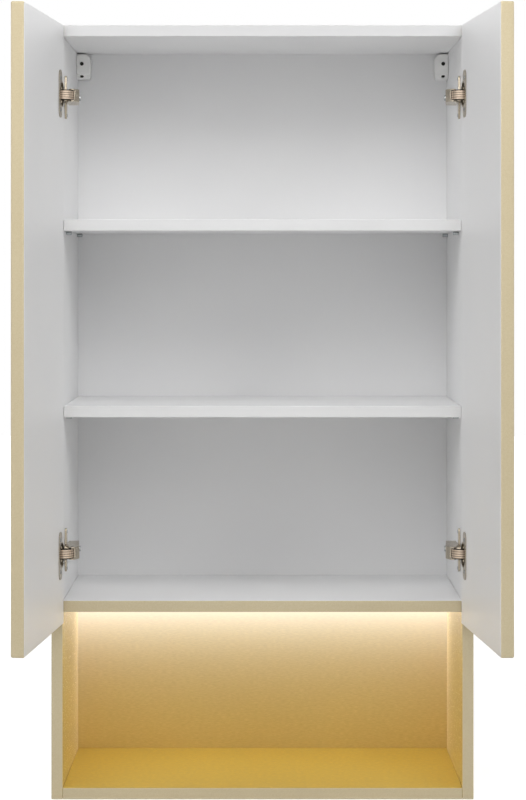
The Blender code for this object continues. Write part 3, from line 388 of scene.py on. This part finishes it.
# painted shade in the grooves between the ribs, and a painted shadow along the tongue's rim
def shadedRibs(tree, colour):
    along = addNode(tree, "ShaderNodeSeparateXYZ", {
        "Vector": addNode(tree, "ShaderNodeTexCoord").outputs["Generated"]})
    offset = addNode(tree, "ShaderNodeMath", {
        0: along.outputs["Z"], 1: ribShade["spanMm"], 2: -ribShade["spanMm"] / 2}, operation="MULTIPLY_ADD")
    phase = addNode(tree, "ShaderNodeMath", {
        0: offset.outputs["Value"], 1: math.tau / ribShade["pitchMm"]}, operation="MULTIPLY")
    wave = addNode(tree, "ShaderNodeMath", {0: phase.outputs["Value"]}, operation="COSINE")
    groove = addNode(tree, "ShaderNodeMapRange", {
        "Value": wave.outputs["Value"], "From Min": ribShade["grooveFrom"], "To Max": ribShade["grooveMost"]})
    ribbed = addNode(tree, "ShaderNodeMix", {
        0: groove.outputs["Result"], firstColour: colour, secondColour: linear(ribShade["tone"])},
        data_type="RGBA")
    apart = addNode(tree, "ShaderNodeMath", {0: offset.outputs["Value"]}, operation="ABSOLUTE")
    rim = addNode(tree, "ShaderNodeMath", {
        0: apart.outputs["Value"], 1: ribShade["rimFromMm"]}, operation="GREATER_THAN")
    rimmed = addNode(tree, "ShaderNodeMix", {
        0: rim.outputs["Value"], firstColour: ribbed.outputs[mixedColour],
        secondColour: linear(ribShade["rim"])}, data_type="RGBA")
    return rimmed.outputs[mixedColour]


# Nickel plated steel, stamped with ribs and tumbled: satin, a little pinker
nickelSatin = metal("nickel_plated_steel_tumbled", {
    "body": "cbbaa8", "shade": "b9a794", "grainMm": (1.5, 1.5, 1.5), "roughness": (0.44, 0.54),
    "reliefMm": 0.02, "creviceMm": 1.2, "edgeMm": 0.5}, shadedRibs)
# Phosphated steel, oiled: nearly black and dull; on the hinge's inner link this black is painted shade
phosphatedAndShade = metal("steel_phosphated_oiled_and_shade", {
    "body": "55534f", "shade": "42403d", "grainMm": (1.0, 1.0, 1.0), "roughness": (0.50, 0.65),
    "reliefMm": 0.02, "creviceMm": 1.0, "edgeMm": 0.3})
# Zinc plated steel, barrel plated: cooler and duller, with faint blotches
zincPlate = metal("zinc_plated_steel_barrelled", {
    "body": "b9bcbd", "shade": "969a9c", "grainMm": (2.0, 2.0, 2.0), "roughness": (0.30, 0.48),
    "reliefMm": 0.02, "creviceMm": 1.0, "edgeMm": 0.3})
# Aluminium, extruded and anodised: pale satin with fine draw lines along its length
anodised = metal("aluminium_extruded_anodised", {
    "body": "d3d4d4", "shade": "bdbfc0", "grainMm": (60.0, 0.8, 0.8), "roughness": (0.28, 0.40),
    "reliefMm": 0.02, "creviceMm": 1.0, "edgeMm": 0.2})


def mouldedPlastic(name, look):
    # spark eroded mould: fine dull grain all over
    material, tree = startMaterial(name)
    spot = addNode(tree, "ShaderNodeTexCoord").outputs["Object"]
    grain = addNode(tree, "ShaderNodeTexNoise", {
        "Vector": spot, "Scale": perMetre(look["grainMm"]), "Detail": 3.0})
    colour, rough = driftingTone(tree, grain.outputs["Fac"], look)
    closeMaterial(tree, {"Base Color": colour, "Roughness": rough}, grain.outputs["Fac"], look["reliefMm"],
                  IOR=look["IOR"], **look["plain"])
    return material


# ABS, moulded with pearl pigment: clean white that throws the room's light back
pearlAbs = mouldedPlastic("abs_moulded_pearl_white", {
    "body": "f4f4f2", "shade": "eeeeec", "grainMm": 0.9, "roughness": (0.34, 0.46), "reliefMm": 0.02,
    "IOR": 1.53, "plain": {"Metallic": 0.3}})
# Opal acrylic, extruded: milky, lit from behind by the strip
opalAcrylic = mouldedPlastic("acrylic_extruded_opal", {
    "body": "f3efe6", "shade": "ebe6da", "grainMm": 4.0, "roughness": (0.30, 0.40), "reliefMm": 0.01,
    "IOR": 1.49, "plain": {"Emission Color": linear("ffe9c4"), "Emission Strength": 2.5}})


# Glass fibre board with white solder mask, printed and populated: pale tape with a yellow chip at each pitch
lightTape = {
    "body": "e9e7df", "shade": "e6c76a",  # mask and chip
    "pitchMm": 16.7, "chipMm": 3.5, "roughness": (0.45, 0.6), "reliefMm": 0.3, "IOR": 1.5}


def tapeMaterial():
    material, tree = startMaterial("glass_fibre_board_printed")
    along = addNode(tree, "ShaderNodeSeparateXYZ", {
        "Vector": addNode(tree, "ShaderNodeTexCoord").outputs["Object"]})
    steps = addNode(tree, "ShaderNodeMath", {
        0: along.outputs["X"], 1: perMetre(lightTape["pitchMm"])}, operation="MULTIPLY")
    phase = addNode(tree, "ShaderNodeMath", {0: steps.outputs["Value"]}, operation="FRACT")
    chip = addNode(tree, "ShaderNodeMath", {
        0: phase.outputs["Value"], 1: lightTape["chipMm"] / lightTape["pitchMm"]}, operation="LESS_THAN")
    colour, rough = driftingTone(tree, chip.outputs["Value"], lightTape)
    closeMaterial(tree, {"Base Color": colour, "Roughness": rough}, chip.outputs["Value"],
                  lightTape["reliefMm"], IOR=lightTape["IOR"])
    return material


# what each fitting's name starts with, and its finish; a later row takes over from the first
fittingFinishes = (
    ("hinge_", nickelPlate),
    ("hinge_outer_link", nickelSatin),
    # the inner link is dark as painted shade, the shadow behind the tongue
    ("hinge_inner_link", phosphatedAndShade),
    ("hinge_adjuster", zincPlate),
    ("hanger_housing", pearlAbs),
    ("hanger_hook", zincPlate),
    ("hanger_height", phosphatedAndShade),
    ("hanger_depth", phosphatedAndShade),
    ("shelf_pin_", zincPlate),
    ("light_profile", anodised),
    ("light_diffuser", opalAcrylic),
    ("light_strip", tapeMaterial()))
for start, finish in fittingFinishes:
    dress(finish, *(name for name in nodes if name.startswith(start)))
print("fittings finished")


# Countersunk screws that hold cups and plates, one mesh for each
screw = {
    "headMm": 6.4, "domeMm": 0.7, "crossMm": 3.6, "barMm": 0.9, "crossDeepMm": 0.5, "turns": 20,
    "rings": ((0.72, 0.86), (0.9, 0.55), (1.0, 0.0))}  # shares of the head's radius and of the dome's height


def screwMesh(name):
    # a domed head on z = 0 with a cross pressed into it, in metres; what is measured across is halved
    radius = screw["headMm"] / 2000
    dome = screw["domeMm"] / 1000
    half = screw["crossMm"] / 2000
    bar = screw["barMm"] / 2000
    deep = screw["crossDeepMm"] / 1000
    shape = bmesh.new()
    cross = [(half, -bar), (half, bar), (bar, bar), (bar, half), (-bar, half), (-bar, bar),
             (-half, bar), (-half, -bar), (-bar, -bar), (-bar, -half), (bar, -half), (bar, -bar)]

    def ring(points, z):
        return [shape.verts.new((x, y, z)) for x, y in points]

    bottom = ring(cross, dome - deep)
    rim = ring(cross, dome)
    circles = []
    for share, rise in screw["rings"]:
        circle = []
        for turn in range(screw["turns"]):
            angle = math.tau * turn / screw["turns"]
            circle.append((radius * share * math.cos(angle), radius * share * math.sin(angle)))
        circles.append(ring(circle, dome * rise))
    shape.faces.new(bottom)
    for index in range(len(bottom)):
        following = (index + 1) % len(bottom)
        shape.faces.new((bottom[index], bottom[following], rim[following], rim[index]))
    for inner, outer in zip(circles, circles[1:]):
        for index in range(len(inner)):
            following = (index + 1) % len(inner)
            shape.faces.new((inner[index], outer[index], outer[following], inner[following]))
    edges = [edge for edge in shape.edges if edge.is_boundary]
    top = [edge for edge in edges if all(vert in rim or vert in circles[0] for vert in edge.verts)]
    bmesh.ops.bridge_loops(shape, edges=top)
    shape.faces.new(list(reversed(circles[-1])))
    bmesh.ops.recalc_face_normals(shape, faces=shape.faces)
    mesh = bpy.data.meshes.new(name)
    shape.to_mesh(mesh)
    shape.free()
    mesh.materials.append(zincPlate)
    return mesh


def addScrew(name, body, spot, outward, twist):
    piece = bpy.data.objects.new(name, screwMesh(name))
    bpy.context.collection.objects.link(piece)
    turn = Vector((0, 0, 1)).rotation_difference(outward).to_matrix().to_4x4()
    piece.matrix_world = Matrix.Translation(spot) @ turn @ Matrix.Rotation(twist, 4, "Z")
    bpy.context.view_layer.update()
    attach(piece, body)


# where the screws sit on the cup's flange and on the plate's wings, and how far they are turned, in radians
cupScrews = {"fromFarEdgeMm": 12.0, "apartMm": 45.0, "standOffMm": 0.05, "twist": 0.4}
plateScrews = {"fromEndMm": 4.8, "setbackMm": 37.0, "wingMm": 3.0, "standOffMm": 0.05, "twist": 0.7}

for side, inward in (("left", 1), ("right", -1)):
    doorAlong = Vector((-inward * abs(math.cos(doorSwing)), -math.sin(doorSwing), 0))
    doorInside = Vector((inward * math.sin(doorSwing), math.cos(doorSwing), 0))
    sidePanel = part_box(f"side_panel_{side}")
    inner = max(sidePanel[0].x * inward, sidePanel[1].x * inward) * inward
    sideFront = sidePanel[0].y
    for level in ("lower", "upper"):
        cup = nodes[f"hinge_cup_{level}_{side}"].data.vertices
        far = max(vert.co.dot(doorAlong) for vert in cup) - cupScrews["fromFarEdgeMm"] / 1000
        face = max(vert.co.dot(doorInside) for vert in cup) + cupScrews["standOffMm"] / 1000
        low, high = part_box(f"hinge_cup_{level}_{side}")
        plateLow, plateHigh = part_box(f"hinge_plate_{level}_{side}")
        for end, sign in (("low", -1), ("high", 1)):
            height = (low.z + high.z) / 2 + sign * cupScrews["apartMm"] / 2000
            addScrew(f"cup_screw_{level}_{side}_{end}", f"{side}_door",
                     doorAlong * far + doorInside * face + Vector((0, 0, height)),
                     doorInside, cupScrews["twist"] * sign)
            height = plateHigh.z if sign > 0 else plateLow.z
            height -= sign * plateScrews["fromEndMm"] / 1000
            wing = inner + inward * (plateScrews["wingMm"] + plateScrews["standOffMm"]) / 1000
            addScrew(f"plate_screw_{level}_{side}_{end}", "carcass",
                     Vector((wing, sideFront + plateScrews["setbackMm"] / 1000, height)),
                     Vector((inward, 0, 0)), plateScrews["twist"] * sign)
print("screws in place")


# Camera: square to the front, at the photograph's eye height, on a long lens
view = {
    "height": 0.744, "distance": 3.338, "sensorMm": 36.0,
    "focalPixels": 2349.0, "axisPixels": (262.5, 270.0)}
imageWidth, imageHeight = 526, 800
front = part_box("divider_panel")[0].y
camera = bpy.data.objects.new("camera", bpy.data.cameras.new("camera"))
bpy.context.collection.objects.link(camera)
camera.data.sensor_fit = "AUTO"
camera.data.sensor_width = view["sensorMm"]
camera.data.lens = view["focalPixels"] * camera.data.sensor_width / imageHeight
camera.data.shift_x = (imageWidth / 2 - view["axisPixels"][0]) / imageHeight
camera.data.shift_y = (view["axisPixels"][1] - imageHeight / 2) / imageHeight
camera.location = (0.0, front - view["distance"], view["height"])
camera.rotation_euler = (math.radians(90), 0, 0)
bpy.context.scene.camera = camera
print("camera set")


# Studio: pale floor, white surroundings, softboxes in front, above, near and behind, and the niche's strip
studio = {
    "floor": "d2d2d0", "floorSize": 14.0, "floorGrainMm": 300, "floorRoughness": (0.8, 0.9),
    "floorGap": 0.001,
    "floorWhite": (0.7, 1.0), "floorWhiteFrom": (0.8, 3.0),  # grows with distance, so no horizon shows
    "surround": "ffffff", "surroundBelow": 0.1, "surroundAbove": 0.11, "lampColour": "ffffff",
    "stripColour": "fffaf2", "stripPower": 0.18, "stripWidth": 0.014, "stripSpread": 110,
    "stripGap": 0.0005}

# name, place and size in metres, power in watts
softboxes = (
    ("front", (0.0, -3.6, 2.2), 3.0, 2.0, 16.0),
    ("above", (0.0, -2.2, 3.2), 2.6, 1.4, 19.0),
    ("near", (0.0, -1.5, 1.8), 1.2, 0.6, 7.4),
    ("left", (-2.3, -2.8, 2.3), 1.6, 1.6, 32.0),
    ("right", (2.3, -2.8, 2.3), 1.6, 1.6, 32.0),
    ("rear_left", (-2.6, 2.6, 1.8), 1.6, 1.6, 24.0),
    ("rear_right", (2.6, 2.6, 1.8), 1.6, 1.6, 24.0))


def seenDirectly(tree):
    # 1 for what the camera, a mirror or glass shows, 0 for light that falls on the object
    path = addNode(tree, "ShaderNodeLightPath")
    either = addNode(tree, "ShaderNodeMath", {
        0: path.outputs["Is Camera Ray"], 1: path.outputs["Is Glossy Ray"]}, operation="MAXIMUM")
    seen = addNode(tree, "ShaderNodeMath", {
        0: either.outputs["Value"], 1: path.outputs["Is Transmission Ray"]}, operation="MAXIMUM")
    return seen.outputs["Value"]


world = bpy.data.worlds.new("surround")
bpy.context.scene.world = world
world.use_nodes = True
sky = world.node_tree
sky.nodes.clear()
direction = addNode(sky, "ShaderNodeSeparateXYZ", {
    "Vector": addNode(sky, "ShaderNodeTexCoord").outputs["Generated"]})
dome = addNode(sky, "ShaderNodeMapRange", {
    "Value": direction.outputs["Z"], "From Min": -1.0, "From Max": 1.0,
    "To Min": studio["surroundBelow"], "To Max": studio["surroundAbove"]})
strength = addNode(sky, "ShaderNodeMix", {
    0: seenDirectly(sky), firstNumber: dome.outputs["Result"], secondNumber: 1.0}, data_type="FLOAT")
glow = addNode(sky, "ShaderNodeBackground", {
    "Color": linear(studio["surround"]), "Strength": strength.outputs[mixedNumber]})
addNode(sky, "ShaderNodeOutputWorld", {"Surface": glow.outputs["Background"]})

floorMesh = bpy.data.meshes.new("floor")
half = studio["floorSize"] / 2
corners = [(-half, -half, 0), (half, -half, 0), (half, half, 0), (-half, half, 0)]
floorMesh.from_pydata(corners, [], [(0, 1, 2, 3)])
floor = bpy.data.objects.new("floor", floorMesh)
bpy.context.collection.objects.link(floor)
floor.location.z = cadBox[0].z - studio["floorGap"]
# Emulsion paint on the floor, rolled: pale and matt, and white in the picture
floorPaint, tree = startMaterial("paint_rolled_pale")
floorSpot = addNode(tree, "ShaderNodeTexCoord").outputs["Object"]
mottle = addNode(tree, "ShaderNodeTexNoise", {
    "Vector": floorSpot, "Scale": perMetre(studio["floorGrainMm"])})
floorRough = addNode(tree, "ShaderNodeMapRange", {
    "Value": mottle.outputs["Fac"],
    "To Min": studio["floorRoughness"][0], "To Max": studio["floorRoughness"][1]})
away = addNode(tree, "ShaderNodeVectorMath", {0: floorSpot}, operation="LENGTH")
white = addNode(tree, "ShaderNodeMapRange", {
    "Value": away.outputs["Value"],
    "From Min": studio["floorWhiteFrom"][0], "From Max": studio["floorWhiteFrom"][1],
    "To Min": studio["floorWhite"][0], "To Max": studio["floorWhite"][1]})
lift = addNode(tree, "ShaderNodeMath", {
    0: seenDirectly(tree), 1: white.outputs["Result"]}, operation="MULTIPLY")
paint = addNode(tree, "ShaderNodeBsdfPrincipled", {
    "Base Color": linear(studio["floor"]), "Roughness": floorRough.outputs["Result"],
    "Emission Color": linear(studio["surround"]), "Emission Strength": lift.outputs["Value"]})
addNode(tree, "ShaderNodeOutputMaterial", {"Surface": paint.outputs["BSDF"]})
floorMesh.materials.append(floorPaint)


def areaLamp(name, place, aim, width, length, power, colour, spread=180):
    lamp = bpy.data.lights.new(name, "AREA")
    lamp.shape = "RECTANGLE"
    lamp.size = width
    lamp.size_y = length
    lamp.energy = power
    lamp.color = linear(colour)[:3]
    lamp.spread = math.radians(spread)
    piece = bpy.data.objects.new(name, lamp)
    piece.location = place
    piece.rotation_euler = (Vector(aim) - Vector(place)).to_track_quat("-Z", "Y").to_euler()
    bpy.context.collection.objects.link(piece)


middle = (cadBox[0] + cadBox[1]) / 2
for name, place, width, length, power in softboxes:
    areaLamp(name, place, middle, width, length, power, studio["lampColour"])
diffuserLow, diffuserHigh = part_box("light_diffuser")
stripHeight = Vector((0, 0, diffuserLow.z - studio["stripGap"]))
stripPlace = ((diffuserLow + diffuserHigh) / 2).xy.to_3d() + stripHeight
areaLamp("strip", stripPlace, stripPlace - Vector((0, 0, 1)), diffuserHigh.x - diffuserLow.x,
         studio["stripWidth"], studio["stripPower"], studio["stripColour"], studio["stripSpread"])
print("studio lit")

bpy.context.scene.view_settings.view_transform = "Standard"
